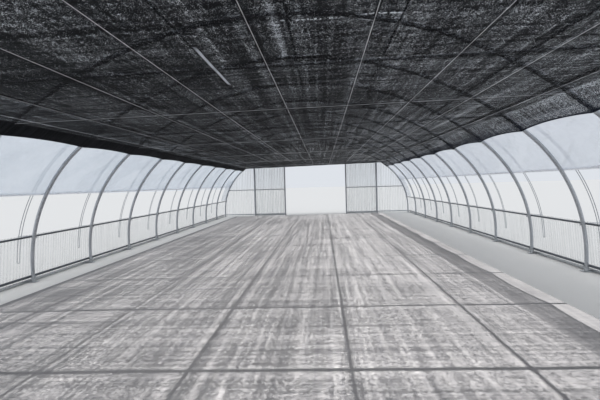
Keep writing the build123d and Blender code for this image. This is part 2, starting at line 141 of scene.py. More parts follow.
# %% A wrapper for sockets
class Value:
    """One output in a material. Arithmetic on it adds Math nodes."""

    def __init__(self, look, socket):
        self.look = look
        self.socket = socket

    def math(self, operation, *others):
        return self.look.add("ShaderNodeMath", {"operation": operation}, dict(enumerate((self, *others))))

    def __add__(self, other):
        return self.math("ADD", other)

    def __sub__(self, other):
        return self.math("SUBTRACT", other)

    def __mul__(self, other):
        return self.math("MULTIPLY", other)

    __radd__ = __add__
    __rmul__ = __mul__

    def __rsub__(self, other):
        return self.look.add("ShaderNodeMath", {"operation": "SUBTRACT"}, {0: other, 1: self})

    def step(self, start, stop, low=0.0, high=1.0):
        """A smooth step from low to high while this value goes from start to stop."""
        inputs = {"Value": self, "From Min": start, "From Max": stop, "To Min": low, "To Max": high}
        return self.look.add("ShaderNodeMapRange", {"interpolation_type": "SMOOTHSTEP"}, inputs)

    def comb(self, pitch, start, stop):
        """Lines a pitch apart across this length: 1 on a line and 0 between two."""
        middle = (self * (1 / pitch)).math("FRACT").math("SUBTRACT", 0.5)
        return middle.math("ABSOLUTE").step(start, stop)

    def part(self, name):
        """One of x, y and z of a vector."""
        return self.look.add("ShaderNodeSeparateXYZ", {}, {0: self}, name.upper())

    def scaled(self, x, y, z):
        """The vector with each part multiplied."""
        return self.look.add("ShaderNodeVectorMath", {"operation": "MULTIPLY"}, {0: self, 1: (x, y, z)})


# %% [markdown]
# ## One material at a time
#
# Every material starts from an empty tree. Its nodes could be added by separate calls,
# each with its own settings and links, but nearly all looks here need the same few: a
# noise, a step, a mix of two colours, a bump and a Principled shader. So a class holds
# one tree and has a short method for each.


# %% A material under construction
class Look:
    """The node tree of one material. Its methods add nodes and give their outputs."""

    def __init__(self, name):
        self.material = bpy.data.materials.new(name)
        self.material.use_nodes = True
        self.tree = self.material.node_tree
        self.tree.nodes.clear()

    def add(self, kind, settings, inputs, output=0):
        """Adds a node of this kind and gives one output, if it has any.

        Inputs and the output go by name or number.
        """
        node = self.tree.nodes.new(kind)
        for name, value in settings.items():
            setattr(node, name, value)
        for name, value in inputs.items():
            if isinstance(value, Value):
                self.tree.links.new(value.socket, node.inputs[name])
            else:
                node.inputs[name].default_value = value
        return Value(self, node.outputs[output]) if node.outputs else None

    def place(self):
        """The piece's own coordinates, in metres."""
        return self.add("ShaderNodeTexCoord", {}, {}, "Object")

    def lengths(self):
        """Lengths along a sheet, from its UV layer."""
        return self.add("ShaderNodeUVMap", {"uv_map": "lengths"}, {})

    def noise(self, vector, scale, detail=2.0, roughness=0.5):
        """A noise between 0 and 1, about 0.5 on average."""
        inputs = {"Vector": vector, "Scale": scale, "Detail": detail, "Roughness": roughness}
        return self.add("ShaderNodeTexNoise", {}, inputs, 0)

    def colours(self, factor, low, high):
        """A colour from low to high as factor goes from 0 to 1."""
        ends = [end if isinstance(end, Value) else (*end, 1) for end in (low, high)]
        return self.add("ShaderNodeMix", {"data_type": "RGBA"}, {0: factor, 6: ends[0], 7: ends[1]}, 2)

    def band(self, place, x, half_width, y, half_length):
        """1 in a short band along Y round (x, y), and 0 outside it."""
        across = (place.part("x") - x).math("ABSOLUTE").step(half_width * 0.4, half_width, 1.0, 0.0)
        along = (place.part("y") - y).math("ABSOLUTE").step(half_length * 0.8, half_length, 1.0, 0.0)
        return across * along

    def bump(self, height, distance, strength=1.0):
        """A normal from a height, which is distance metres at 1."""
        inputs = {"Height": height, "Distance": distance, "Strength": strength}
        return self.add("ShaderNodeBump", {}, inputs)

    def principled(self, **inputs):
        """A Principled shader; base_color stands for its Base Color, and so on."""
        named = {}
        for name, value in inputs.items():
            named[name.replace("_", " ").title().replace("Ior", "IOR")] = value
        return self.add("ShaderNodeBsdfPrincipled", {}, named)

    def lit_through(self, share, front, colour, normal):
        """The front shader, mixed with a share of light from behind of one even colour."""
        back = self.add("ShaderNodeBsdfTranslucent", {}, {"Color": (*colour, 1), "Normal": normal})
        return self.add("ShaderNodeMixShader", {}, {0: share, 1: front, 2: back})

    def finish(self, shader):
        """Links the shader to the material's output and gives the material."""
        self.add("ShaderNodeOutputMaterial", {}, {"Surface": shader})
        print("material", self.material.name, len(self.tree.nodes), "nodes")
        return self.material


def plain(name, colour, rough):
    """A material of one colour."""
    look = Look(name)
    return look.finish(look.principled(base_color=(*colour, 1), roughness=rough))


# %% [markdown]
# ## Metals
#
# Galvanised tube has soft spangles and a dull weathered bloom. The plates are newer
# and brighter, and the rails outside the hoops are dark. A picture of zinc could be
# wrapped round each tube, but it would repeat over 24 metres. Two noises in the piece's
# own coordinates keep their real scale and never repeat. The wires under the net are
# coated and of one light grey.


# %% Metals and wire
def metal(name, dark, light, metallic, rough, spangle=60.0):
    """Metal between two tones, with spangle spots to the metre and gloss near rough."""
    look = Look(name)
    place = look.place()
    flakes = look.noise(place, spangle, 3.0)
    bloom = look.noise(place, 2.5, 4.0, 0.6)
    tone = (flakes * 0.6 + bloom * 0.4).step(0.35, 0.65)
    colour = look.colours(tone, dark, light)
    gloss = bloom.step(0.3, 0.7, rough - 0.08, rough + 0.12)
    return look.finish(look.principled(base_color=colour, metallic=metallic, roughness=gloss))


galvanised = metal("galvanised_tube", (0.36, 0.38, 0.41), (0.50, 0.52, 0.55), 0.55, 0.36)
dark_tube = metal("dark_tube", (0.070, 0.080, 0.095), (0.12, 0.13, 0.15), 0.3, 0.42)
zinc = metal("zinc_plate", (0.42, 0.44, 0.46), (0.58, 0.60, 0.62), 0.75, 0.34)
aluminium = metal("aluminium_profile", (0.52, 0.54, 0.56), (0.64, 0.66, 0.68), 0.8, 0.36, 25.0)
white_wire = plain("white_wire", (0.42, 0.43, 0.45), 0.4)

# %% [markdown]
# ## Twin-wall sheet
#
# The sheet is clear, with an upright web every 10 mm and a stronger upright line every
# 80 mm, which is what shows from afar. Each web could be modelled, but that takes
# thousands of faces for lines finer than a pixel, so the material draws them. The lines
# and the dust in the flutes make the sheet denser, so they raise its alpha. The sheets
# of the side walls run along Y, and those of the ends and doors along X.


# %% Twin-wall sheet
WEB_PITCH, FLUTE_PITCH = 0.010, 0.080


def twin_wall(name, run):
    """Clear fluted sheet whose width runs along run, which is x or y."""
    look = Look(name)
    place = look.place()
    along = place.part(run)
    web = along.comb(WEB_PITCH, 0.38, 0.47)
    dust = look.noise(place.scaled(9.0, 9.0, 0.35), 1.0, 4.0, 0.65)
    flute = along.comb(FLUTE_PITCH, 0.32, 0.48)
    alpha = web * 0.16 + flute * 0.15 + dust.step(0.35, 0.75, 0.05, 0.13)
    colour = look.colours(dust.step(0.4, 0.7), (0.74, 0.79, 0.80), (0.90, 0.93, 0.92))
    normal = look.bump(web, 0.0012, 0.6)
    return look.finish(look.principled(base_color=colour, roughness=0.16, alpha=alpha, normal=normal))


side_wall = twin_wall("twin_wall_side", "y")
end_wall = twin_wall("twin_wall_end", "x")

# %% [markdown]
# ## Film
#
# Greenhouse film is milky: it scatters what shines through it. A glass or a transmission
# shader could be used, but it would bend what is seen through the sheet, and thin film
# doesn't. So the shader mixes a see-through surface with one that is lit from behind,
# whose colour is even, because only the front's clouds and folds are seen. Soft creases
# slant across the film, and they are deepest in the slack curtain. The front is painted
# paler along the folds, as light on the creases. Rolled up, it is many layers thick, so
# it can't be seen through, and it is coloured nearly white, partly for its layers and
# partly as painted sunlight on the roll.


# %% Film
def film_look(name, alpha, crease, tint):
    """Film of about this alpha, with creases of depth crease in metres."""
    look = Look(name)
    lengths = look.lengths()
    slow = look.noise(lengths.scaled(1.0, 0.6, 1.0), 1.6, 4.0, 0.6)
    across = lengths.part("x") * 0.9 + lengths.part("y") * 0.45 + slow * 0.5
    along = lengths.part("y") * 0.25 - lengths.part("x") * 0.3
    slanted = look.add("ShaderNodeCombineXYZ", {}, {"X": across * 2.0, "Y": along})
    fold = look.noise(slanted, 1.0, 2.0, 0.4).step(0.40, 0.62)
    normal = look.bump(fold + slow * 1.2, crease)
    pale = [min(1.0, part * 1.07) for part in tint]
    between = [(low + high) / 2 for low, high in zip(tint, pale)]
    # Painted light: the colour is paler along the folds, as light on the creases; the paler clouds are the
    # film's own.
    colour = look.colours(slow.step(0.35, 0.7) * 0.5 + fold * 0.5, tint, pale)
    dense = fold * 0.07 + slow.step(0.3, 0.7, alpha - 0.06, alpha + 0.04)
    front = look.principled(base_color=colour, roughness=0.32, alpha=dense, normal=normal)
    return look.finish(look.lit_through(0.14, front, between, normal))


def rolled_look(name):
    """Many layers of film rolled on a tube, with fine lines along it."""
    look = Look(name)
    strands = look.noise(look.place().scaled(60.0, 1.2, 60.0), 1.0, 3.0)
    normal = look.bump(strands, 0.004)
    # Partly painted light: the colour is near white for the many layers and also as painted sunlight on the
    # roll.
    colour = look.colours(strands.step(0.35, 0.65), (0.88, 0.89, 0.91), (0.97, 0.97, 0.98))
    front = look.principled(base_color=colour, roughness=0.35, normal=normal)
    return look.finish(look.lit_through(0.6, front, (0.925, 0.93, 0.945), normal))


roof_look = film_look("clear_film_roof", 0.32, 0.004, (0.82, 0.86, 0.91))
smooth_look = film_look("clear_film_smooth", 0.22, 0.004, (0.78, 0.86, 0.96))
creased_look = film_look("clear_film_creased", 0.24, 0.040, (0.82, 0.87, 0.95))
rolled_film = rolled_look("rolled_film")

# %% [markdown]
# ## Shade net
#
# The net is knitted from black tape, and light comes through its pores in specks. Holes
# cut in the mesh would take millions of faces, so the pores are in the alpha. Each is a
# round hole about the middle of one cell, and its radius follows a sum of noises,
# because the knit is pulled open in rows across the tunnel and in runs along it, and
# bunched elsewhere. A long seam, a loose strip and a row of stitches are more open, and
# the strips at the two edges are closed. The net has split a little to the left of the
# middle. The split is not opened, and the light seen through it is painted on in a pale
# colour. The hems have no pores.


# %% Shade net
PORES_ACROSS, PORES_ALONG = 190.0, 110.0
STRIP_IN, STRIP_OUT = 3.30, 3.42


def net_look(name):
    """Knitted black net. Its bands are placed in metres from the middle of the tunnel."""
    look = Look(name)
    place = look.place()
    rows = look.noise(place.scaled(0.30, 13.0, 1.0), 1.0, 4.0, 0.6)
    runs = look.noise(place.scaled(14.0, 0.22, 1.0), 1.0, 4.0, 0.6)
    patch = look.noise(place.scaled(0.6, 0.5, 1.0), 1.0, 3.0)
    grain = look.noise(place.scaled(55.0, 32.0, 1.0), 1.0, 3.0, 0.7)
    bars = look.noise(place.scaled(0.06, 3.2, 1.0), 1.0, 2.0).step(0.57, 0.66)

    pores = place.scaled(PORES_ACROSS, PORES_ALONG, 1.0)
    cells = {"Vector": pores, "Scale": 1.0, "Randomness": 0.7}
    to_middle = look.add("ShaderNodeTexVoronoi", {"voronoi_dimensions": "2D"}, cells, "Distance")
    per_pore = look.add("ShaderNodeTexVoronoi", {"voronoi_dimensions": "2D"}, cells, "Color").part("x")

    to_right = place.part("x").step(-0.5, 3.0, 0.0, 0.12)
    black_edge = place.part("x").step(-STRIP_OUT, -STRIP_IN, 0.40, 0.0)
    blue_edge = place.part("x").step(STRIP_IN, STRIP_OUT)
    painted_split_light = look.band(place, x=-0.43, half_width=0.016, y=-8.1, half_length=0.62)
    loose = look.band(place, x=0.13, half_width=0.030, y=-8.85, half_length=0.60)
    seam = look.band(place, x=-0.91, half_width=0.06, y=-1.0, half_length=8.0)
    row = look.band(place, x=0.55, half_width=0.50, y=-9.09, half_length=0.014)
    stitches = row * grain.step(0.45, 0.55)

    knit = rows * 0.50 + runs * 0.66 + grain * 0.95 + patch * 0.12 + per_pore * 0.36
    opened = to_right + loose * 0.2 + seam * 0.09 + stitches * 0.60
    closed = bars * 0.06 + black_edge + blue_edge * 0.09 + 1.025
    pore = (knit + opened - closed - to_middle).step(0.0, 0.05)
    hem = look.add("ShaderNodeAttribute", {"attribute_name": "hem"}, {}, "Fac").step(0.55, 0.70)
    alpha = 1.0 - pore * 0.92 * (1.0 - hem)

    colour = look.colours(rows.step(0.35, 0.7), (0.004, 0.005, 0.007), (0.014, 0.015, 0.019))
    colour = look.colours(blue_edge, colour, (0.010, 0.014, 0.026))
    # Painted light: a pale colour where the net has split stands for the light seen through the split.
    colour = look.colours(painted_split_light, colour, (0.66, 0.70, 0.76))
    normal = look.bump(to_middle, 0.002)
    matt = {"roughness": 0.75, "specular_ior_level": 0.06}
    return look.finish(look.principled(base_color=colour, alpha=alpha, normal=normal, **matt))


shade_net_look = net_look("shade_net")

# %% [markdown]
# ## Ground cover
#
# The cover is woven from flat grey tape. The weave could be drawn thread by thread, but
# at 1 mm it is far finer than a pixel, so only what shows is drawn: fine streaks across
# and along the tunnel, which are partly dust and partly a painted dapple of the light
# through the net, a little grain, and painted shade that darkens it towards the sides.


# %% Ground cover
def cover_look(name):
    """Woven grey cloth, with painted shade that darkens it to the sides of the line x = -0.5."""
    look = Look(name)
    place = look.place()
    # Painted light: the streaks, most of all the runs along the tunnel, are partly dust and partly a
    # painted dapple of light through the net.
    streaks = look.noise(place.scaled(0.7, 24.0, 1.0), 1.0, 7.0, 0.68)
    runs = look.noise(place.scaled(22.0, 0.35, 1.0), 1.0, 5.0, 0.6)
    blotch = look.noise(place.scaled(0.8, 1.3, 1.0), 1.0, 5.0, 0.6)
    grain = look.noise(place.scaled(90.0, 90.0, 1.0), 1.0, 2.0)
    tone = (streaks * 0.40 + runs * 0.35 + blotch * 0.10 + grain * 0.15).step(0.36, 0.64)
    colour = look.colours(tone, (0.26, 0.255, 0.265), (0.39, 0.38, 0.38))
    # Painted shade: the cloth darkens to the sides of the line x = -0.5.
    shade = (place.part("x") + 0.5).math("ABSOLUTE").step(0.9, 3.4, 1.0, 0.72)
    colour = look.colours(shade, (0.0, 0.0, 0.0), colour)
    normal = look.bump(grain * 0.5 + streaks * 0.5, 0.001)
    return look.finish(look.principled(base_color=colour, roughness=0.8, normal=normal))


ground_look = cover_look("ground_fabric")

# %% [markdown]
# ## Looks for the frame's own pieces
#
# Each node of the frame has a material slot in its record. The materials could be given
# one by one, but the slot already says what a piece is made of, so it picks the look.
# The twin-wall sheets also go by the direction in which they run. Each mesh keeps its
# own coordinates, so a pattern has its real scale on every piece.

# %% Give each node its material
LOOKS = {
    "galvanised_tube": galvanised,
    "dark_tube": dark_tube,
    "zinc_plate": zinc,
    "aluminium_profile": aluminium,
    "clear_film": roof_look,
    "rolled_film": rolled_film,
    "shade_net": shade_net_look,
    "white_wire": white_wire,
    "ground_fabric": ground_look,
}
for part in frame["record"]["subparts"]:
    name, slot = part["node"], part["material_slot"]
    if slot == "twin_wall_sheet":
        material = side_wall if name.startswith("side_sheets") else end_wall
    else:
        material = LOOKS[slot]
    mesh = nodes[name].data
    mesh.materials.clear()
    mesh.materials.append(material)
print("materials given to", len(nodes), "nodes")

# %% [markdown]
# ## Making sheets
#
# The film, the net and the cover are thin sheets. Each could be a plane with a Cloth or
# a Solidify modifier. Here it is a grid of points for its middle surface, given by a
# formula, because all of them are held by straight members and how they sag is known.
# Two faces lie half a thickness to each side of it, along the grid's normals, and a rim
# closes them.


# %% Sheets
def show(obj, body, material):
    """Links a new piece to the scene, with its body and its look."""
    bpy.context.scene.collection.objects.link(obj)
    obj.data.materials.append(material)
    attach(obj, body)
    return obj


def grid_faces(rows, cols, start=0):
    """The four-cornered faces between the points of a grid."""
    i = np.arange(rows * cols).reshape(rows, cols) + start
    return np.stack([i[:-1, :-1], i[1:, :-1], i[1:, 1:], i[:-1, 1:]], -1).reshape(-1, 4)


def sheet_mesh(name, middle, thickness, uv):
    """A closed sheet round the grid middle[row, col] = (x, y, z).

    Its faces are middle + n t / 2 and middle - n t / 2, with n the cross product of
    the grid's two directions. uv[row, col] holds lengths in metres along the sheet.
    The attribute hem is 1 on the first and last row and 0 on the others.
    """
    rows, cols = middle.shape[:2]
    normal = np.cross(np.gradient(middle, axis=0), np.gradient(middle, axis=1))
    normal /= np.linalg.norm(normal, axis=-1, keepdims=True)
    top = (middle + normal * thickness / 2).reshape(-1, 3)
    under = (middle - normal * thickness / 2).reshape(-1, 3)
    count = rows * cols
    index = np.arange(count).reshape(rows, cols)
    border = np.concatenate([index[:-1, 0], index[-1, :-1], index[:0:-1, -1], index[0, :0:-1]])
    after = np.roll(border, -1)
    rim = np.stack([after, border, border + count, after + count], -1)
    faces = np.concatenate([grid_faces(rows, cols), grid_faces(rows, cols, count)[:, ::-1], rim])
    mesh = bpy.data.meshes.new(name)
    mesh.from_pydata(np.concatenate([top, under]).tolist(), [], faces.tolist())
    flat = np.concatenate([uv.reshape(-1, 2)] * 2)
    layer = mesh.uv_layers.new(name="lengths")
    layer.data.foreach_set("uv", flat[faces.ravel()].ravel().astype(np.float32))
    hem = np.zeros((rows, cols), np.float32)
    hem[[0, -1]] = 1
    mesh.attributes.new("hem", "FLOAT", "POINT").data.foreach_set("value", np.tile(hem.ravel(), 2))
    mesh.polygons.foreach_set("use_smooth", np.ones(len(faces), bool))
    mesh.set_sharp_from_angle(angle=radians(50))
    print(f"{name}: {len(faces)} faces")
    return bpy.data.objects.new(name, mesh)


# %% [markdown]
# ## Soft waves
#
# Film between two hoops billows and creases. A cloth simulation could find that, but 24
# metres of it would take longer than everything else together, and a bump alone would
# leave each sheet's edge straight. So the creases come from a sum of plane waves with
# seeded directions and phases. Bending each wave sharply makes thin ridges between
# broad flats, as in slack film.


# %% Waves and ridges
def waves(u, v, seed, count, length, spread, heading=0.0):
    """Sum of sines over (u, v) in metres, between about -1 and 1.

    Each wave's length is within a factor spread of length, and its heading within
    half a radian of heading, measured from the u direction.
    """
    rng = np.random.default_rng(seed)
    total = np.zeros(np.broadcast(u, v).shape)
    for _ in range(count):
        turn = heading + rng.uniform(-0.5, 0.5)
        size = length * spread ** rng.uniform(-1, 1)
        phase = rng.uniform(0, 2 * pi)
        total += np.sin(2 * pi * (u * cos(turn) + v * sin(turn)) / size + phase)
    return total / count**0.5 / 1.6


def ridges(field, sharpness):
    """Thin ridges where the field crosses zero: exp(-sharpness |field|)."""
    return np.exp(-sharpness * np.abs(field))


def between_hoops(y):
    """0 at each hoop and 1 in the middle of each bay: sin^2(pi y / BAY)."""
    return np.sin(pi * y / BAY) ** 2


# %% [markdown]
# ## The roof film
#
# The film is stretched over the hoops between the channels at the shoulders. Between
# two hoops it sags a little towards the inside. A simulation could find the sag, but in
# tight film it is only millimetres, so sin^2 of the way between two hoops gives it.

# %% Roof film
HIP_Z, HALF_CHANNEL = 2.56, 0.0253
HIP = angle_at(HIP_Z)
ABOVE_CHANNEL = HIP + HALF_CHANNEL / ROOF_R
BELOW_CHANNEL = HIP - HALF_CHANNEL / ROOF_R


def cover_sheet(name, start, stop, step, low_y, high_y, lift, rise, thickness):
    """A sheet over the hoops, between two angles and two distances along the tunnel.

    Its middle surface lies lift + rise(s, y) outside the hoop's line, where s is the
    length along the arc from start.
    """
    angles, run = arc_angles(start, stop, step)
    ys = np.linspace(low_y, high_y, int(round((high_y - low_y) / 0.1)) + 1)
    s, y = np.meshgrid(run, ys, indexing="ij")
    x, z = arc_points(angles[:, None], lift + rise(s, y))
    middle = np.stack([x, y, z], -1)
    return sheet_mesh(name, middle, thickness, np.stack([s, y], -1)), run[-1]


def roof_rise(s, y):
    """Sag between hoops of (9 mm + 2 mm crease) sin^2(pi y / BAY).

    The creases are waves that fade as exp(-distance / 0.4 m) from the channels.
    """
    span = s.max()
    edge = np.minimum(s, span - s)
    crease = waves(s, y, 3, 6, 0.35, 1.6, 1.2) * np.exp(-edge / 0.4)
    return -between_hoops(y) * (0.009 + 0.002 * crease)


FILM_T = 0.003
roof, roof_run = cover_sheet("roof_film_sheet", ABOVE_CHANNEL, pi - ABOVE_CHANNEL, 0.12,
                             -END_FACE, END_FACE, OUTSIDE + FILM_T / 2, roof_rise, FILM_T)
show(roof, "tunnel", roof_look)
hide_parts("roof_film")

# %% [markdown]
# ## The side curtains
#
# Each curtain hangs from the shoulder channel outside the hoops and is rolled up on a
# tube. The left one hangs smoothly. The right one is slacker, and long slanting folds
# run across it. They could be sculpted, but ridges where waves of two headings cross
# zero have the same look, and every bay then gets folds of its own.


# %% Side curtains
def smooth_rise(s, y):
    """Soft billows between hoops: (7 mm + 4 mm waves) sin^2(pi y / BAY)."""
    return between_hoops(y) * (0.007 + 0.004 * waves(s, y, 5, 5, 0.9, 1.5, 0.2))


def slack_rise(s, y):
    """Billows and folds: (6 mm + 10 mm ridges + 6 mm ridges) sin^2(pi y / BAY).

    The two sets of ridges slant across the sheet with different headings.
    """
    one = ridges(waves(s, y, 11, 5, 0.75, 1.6, 0.75), 2.5)
    two = ridges(waves(s, y, 12, 5, 0.60, 1.6, 2.30), 2.5)
    return between_hoops(y) * (0.006 + 0.010 * one + 0.006 * two)


CURTAIN_T = 0.0024
CURTAIN_LIFT = OUTSIDE + CURTAIN_T + 0.0003 + CURTAIN_T / 2
CURTAIN_END = HALF_LENGTH - 0.06
LEFT_ROLL_Z, RIGHT_ROLL_Z = 1.44, 1.596
left_curtain, left_run = cover_sheet(
    "side_curtain_left_sheet", pi - BELOW_CHANNEL, pi - angle_at(LEFT_ROLL_Z), 0.05,
    -CURTAIN_END, CURTAIN_END, CURTAIN_LIFT, smooth_rise, CURTAIN_T)
right_curtain, right_run = cover_sheet(
    "side_curtain_right_sheet", angle_at(RIGHT_ROLL_Z), BELOW_CHANNEL, 0.05,
    -CURTAIN_END, CURTAIN_END, CURTAIN_LIFT, slack_rise, CURTAIN_T)
show(left_curtain, "tunnel", smooth_look)
show(right_curtain, "tunnel", creased_look)
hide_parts("side_curtain_left")
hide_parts("side_curtain_right")

# %% [markdown]
# ## The shade net
#
# The net lies on the long wires and sags between them, less so where a cross wire
# carries it. At each side it turns down as a skirt, which is tied low at the hoops and
# pulls up between them. Cloth pinned at the wires could hang like this too. A parabola
# between each two wires is used, because it never cuts into a wire and gives the same
# net each time.

# %% Where the net lies
NET_MIDDLE, NET_TILT = 2.415, 0.130
NET_SLOPE = NET_TILT / (2 * x_at(NET_MIDDLE))
NET_GAP = -0.0333
NET_LIFT = 0.0028
NET_T = 0.001
LEFT_HEM_Z, RIGHT_HEM_Z = 2.206, 2.233
LONG_WIRES = np.array([-3.15, -2.48, -1.58, -0.83, -0.03, 0.69, 1.42, 2.13, 2.95])
NET_END = HALF_LENGTH - 0.06
CROSS_STEP = 2 * BAY


def net_edge(side):
    """Where the net's plane meets the line inside the hoops.

    x is put into the plane for a height, and the height into the line for a new x,
    until it stands still.
    """
    x = side * HALF_SPAN
    for _ in range(40):
        x = side * x_at(NET_MIDDLE + NET_LIFT + NET_SLOPE * x, NET_GAP)
    return x


left_edge, right_edge = net_edge(-1), net_edge(1)
stops = np.concatenate([[left_edge], LONG_WIRES, [right_edge]])
print("net plane from x", round(left_edge, 3), "to", round(right_edge, 3), "m")


def net_sag(x, y):
    """Sag below the wires' plane: up to 16 mm, as 4 t (1 - t) between two wires.

    It fades to nothing within 0.3 m of a cross wire, which is under the long ones.
    """
    i = np.clip(np.searchsorted(stops, x, side="right") - 1, 0, len(stops) - 2)
    gap = stops[i + 1] - stops[i]
    t = (x - stops[i]) / gap
    from_wire = (y + BAY) % CROSS_STEP
    from_wire = np.minimum(from_wire, CROSS_STEP - from_wire)
    free = np.clip(from_wire / 0.3, 0, 1)
    free = free * free * (3 - 2 * free)
    rumple = 0.5 + 0.5 * waves(x, y, 21, 8, 0.45, 1.8, 1.57)
    return 4 * t * (1 - t) * free * gap / 0.9 * (0.009 + 0.007 * rumple)


def skirt(side, edge, bottom, ys, steps=7):
    """(x, z) of the skirt from its lower edge to the net's edge, at each of the ys.

    Its lower edge is pinned at each hoop and arches up between them, by up to 15
    percent of its drop, as |sin(pi y / BAY)|^0.7. The cloth hollows inwards there.
    """
    foot_x = side * x_at(bottom, NET_GAP)
    head_z = NET_MIDDLE + NET_LIFT + NET_SLOPE * edge
    v = np.linspace(0, 1, steps)[:, None]
    slack = np.abs(np.sin(pi * ys / BAY))[None, :] ** 0.7
    down = (1 - v) * (1 - 0.15 * slack)
    x = edge + (foot_x - edge) * down - side * 0.012 * slack * np.sin(pi * (1 - v))
    z = head_z + (bottom - head_z) * down
    return x, z


# %% [markdown]
# The net is one grid, from the lower edge of the left skirt over the flat part to the
# lower edge of the right one. Its width could be measured on the mesh, but adding up
# the hops from row to row also gives each point its length across, which goes into its
# UV layer.

# %% Shade net sheet
net_ys = np.linspace(-NET_END, NET_END, 241)
flat_x = np.linspace(left_edge, right_edge, 109)[1:-1, None] + 0 * net_ys
flat_z = NET_MIDDLE + NET_LIFT + NET_SLOPE * flat_x - net_sag(flat_x, net_ys[None, :])
left_x, left_z = skirt(-1, left_edge, LEFT_HEM_Z, net_ys)
right_x, right_z = skirt(1, right_edge, RIGHT_HEM_Z, net_ys)
net_x = np.concatenate([left_x, flat_x, right_x[::-1]])
net_z = np.concatenate([left_z, flat_z, right_z[::-1]])
net_y = np.broadcast_to(net_ys, net_x.shape)
hops = np.hypot(np.diff(net_x, axis=0), np.diff(net_z, axis=0))
net_run = np.concatenate([np.zeros((1, len(net_ys))), np.cumsum(hops, axis=0)])
net_middle = np.stack([net_x, net_y, net_z], -1)
net = sheet_mesh("shade_net_sheet", net_middle, NET_T, np.stack([net_run, net_y], -1))
show(net, "tunnel", shade_net_look)
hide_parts("shade_net")

# %% [markdown]
# ## The ground cover
#
# The cover lies loose on the ground, with low ripples across it that die out at its
# edges. A bump could shade them, but real ripples of a few millimetres also bend the
# shadows that fall on the cover.

# %% Ground cover sheet
MAT_LEFT, MAT_RIGHT, MAT_END, MAT_T = -3.97, 3.22, 11.9697, 0.003
RIPPLE, FADE = 0.006, 0.4
mat_xs = np.linspace(MAT_LEFT, MAT_RIGHT, 73)
mat_ys = np.linspace(-MAT_END, MAT_END, 241)
mat_x, mat_y = np.meshgrid(mat_xs, mat_ys, indexing="ij")
from_side = np.minimum(mat_x - MAT_LEFT, MAT_RIGHT - mat_x)
from_end = np.minimum(mat_y + MAT_END, MAT_END - mat_y)
flat_edge = np.clip(np.minimum(from_side, from_end) / FADE, 0, 1)
ripple = ridges(waves(mat_x, mat_y, 31, 7, 0.9, 1.8, 1.57), 3.0) * flat_edge
mat_middle = np.stack([mat_x, mat_y, MAT_T / 2 + RIPPLE * ripple], -1)
mat = sheet_mesh("ground_cover_sheet", mat_middle, MAT_T, np.stack([mat_x, mat_y], -1))
show(mat, "tunnel", ground_look)
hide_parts("ground_cover")

# %% [markdown]
# ## Copies of small pieces
#
# Clamps, bolts and screws repeat at every hoop. Linked copies could stand there, but
# the export wants each piece at the origin with its place in its mesh. So a small shape
# is made once about the origin, moved by many 4 x 4 matrices and kept as one mesh.


# %% Copies and simple shapes
def joined(name, shape, places):
    """One mesh with a copy of shape = (points, faces) at each 4 x 4 matrix in places."""
    points, faces = shape
    places = np.array([np.array(m) for m in places])
    moved = np.einsum("nij,pj->npi", places[:, :3, :3], points) + places[:, None, :3, 3]
    mesh = bpy.data.meshes.new(name)
    many = [[i + k * len(points) for i in face] for k in range(len(places)) for face in faces]
    mesh.from_pydata(moved.reshape(-1, 3).tolist(), [], many)
    mesh.polygons.foreach_set("use_smooth", np.ones(len(many), bool))
    mesh.set_sharp_from_angle(angle=radians(35))
    print(f"{name}: {len(places)} copies, {len(many)} faces")
    return bpy.data.objects.new(name, mesh)


def fused(*shapes):
    """Several (points, faces) as one."""
    points, faces, start = [], [], 0
    for shape_points, shape_faces in shapes:
        points.append(np.asarray(shape_points, float))
        faces += [[i + start for i in face] for face in shape_faces]
        start += len(shape_points)
    return np.concatenate(points), faces


def prism(sides, radius, low, high, axis=2):
    """A closed prism: radius (cos a, sin a) for even angles a, at two places on an axis.

    With six sides it is a bolt's head.
    """
    a = np.arange(sides) * 2 * pi / sides
    ring = np.stack([radius * np.cos(a), radius * np.sin(a)], -1)
    points = np.concatenate([np.insert(ring, 2, low, 1), np.insert(ring, 2, high, 1)])
    i = np.arange(sides)
    after = np.roll(i, -1)
    walls = np.stack([i, after, after + sides, i + sides], -1)
    return np.roll(points, axis - 2, axis=1), walls.tolist() + [i[::-1].tolist(), (i + sides).tolist()]


def shifted(shape, offset):
    """A shape (points, faces) moved by offset."""
    points, faces = shape
    return points + offset, faces


def box(low, high):
    """A box from its lowest to its highest corner."""
    corners = [[x, y, z] for x in (low[0], high[0]) for y in (low[1], high[1]) for z in (low[2], high[2])]
    faces = [[0, 1, 3, 2], [4, 6, 7, 5], [0, 4, 5, 1], [2, 3, 7, 6], [0, 2, 6, 4], [1, 5, 7, 3]]
    return np.array(corners, float), faces


def ring_faces(rings, sides):
    """The four-cornered faces between closed rings of points, one ring after another."""
    i = np.arange(rings * sides).reshape(rings, sides)
    after = np.roll(i, -1, axis=1)
    return np.stack([i[:-1], i[1:], after[1:], after[:-1]], -1).reshape(-1, 4)


def open_ring(inner, outer, half_height, start, stop, steps=22):
    """A band bent about Z from one angle to another, square at its ends.

    Each corner (r, z) of its section goes to (r cos a, r sin a, z) at each angle a.
    """
    a = np.linspace(start, stop, steps)[:, None]
    r = np.array([inner, outer, outer, inner])
    z = np.array([-1, -1, 1, 1]) * half_height
    points = np.stack([r * np.cos(a), r * np.sin(a), z + 0 * a], -1).reshape(-1, 3)
    first, last = np.arange(4)[::-1], np.arange(4) + 4 * (steps - 1)
    return points, ring_faces(steps, 4)[:, ::-1].tolist() + [first.tolist(), last.tolist()]


# %% [markdown]
# ## Clamps and screws
#
# A band clamp ties each hoop to the rail outside it. Its opening faces the rail, and
# a bolt draws its ears together on the inside. A plain ring would do from afar, but the
# nearest hoops show the ears, so the band, its ears and its bolt are separate shapes.


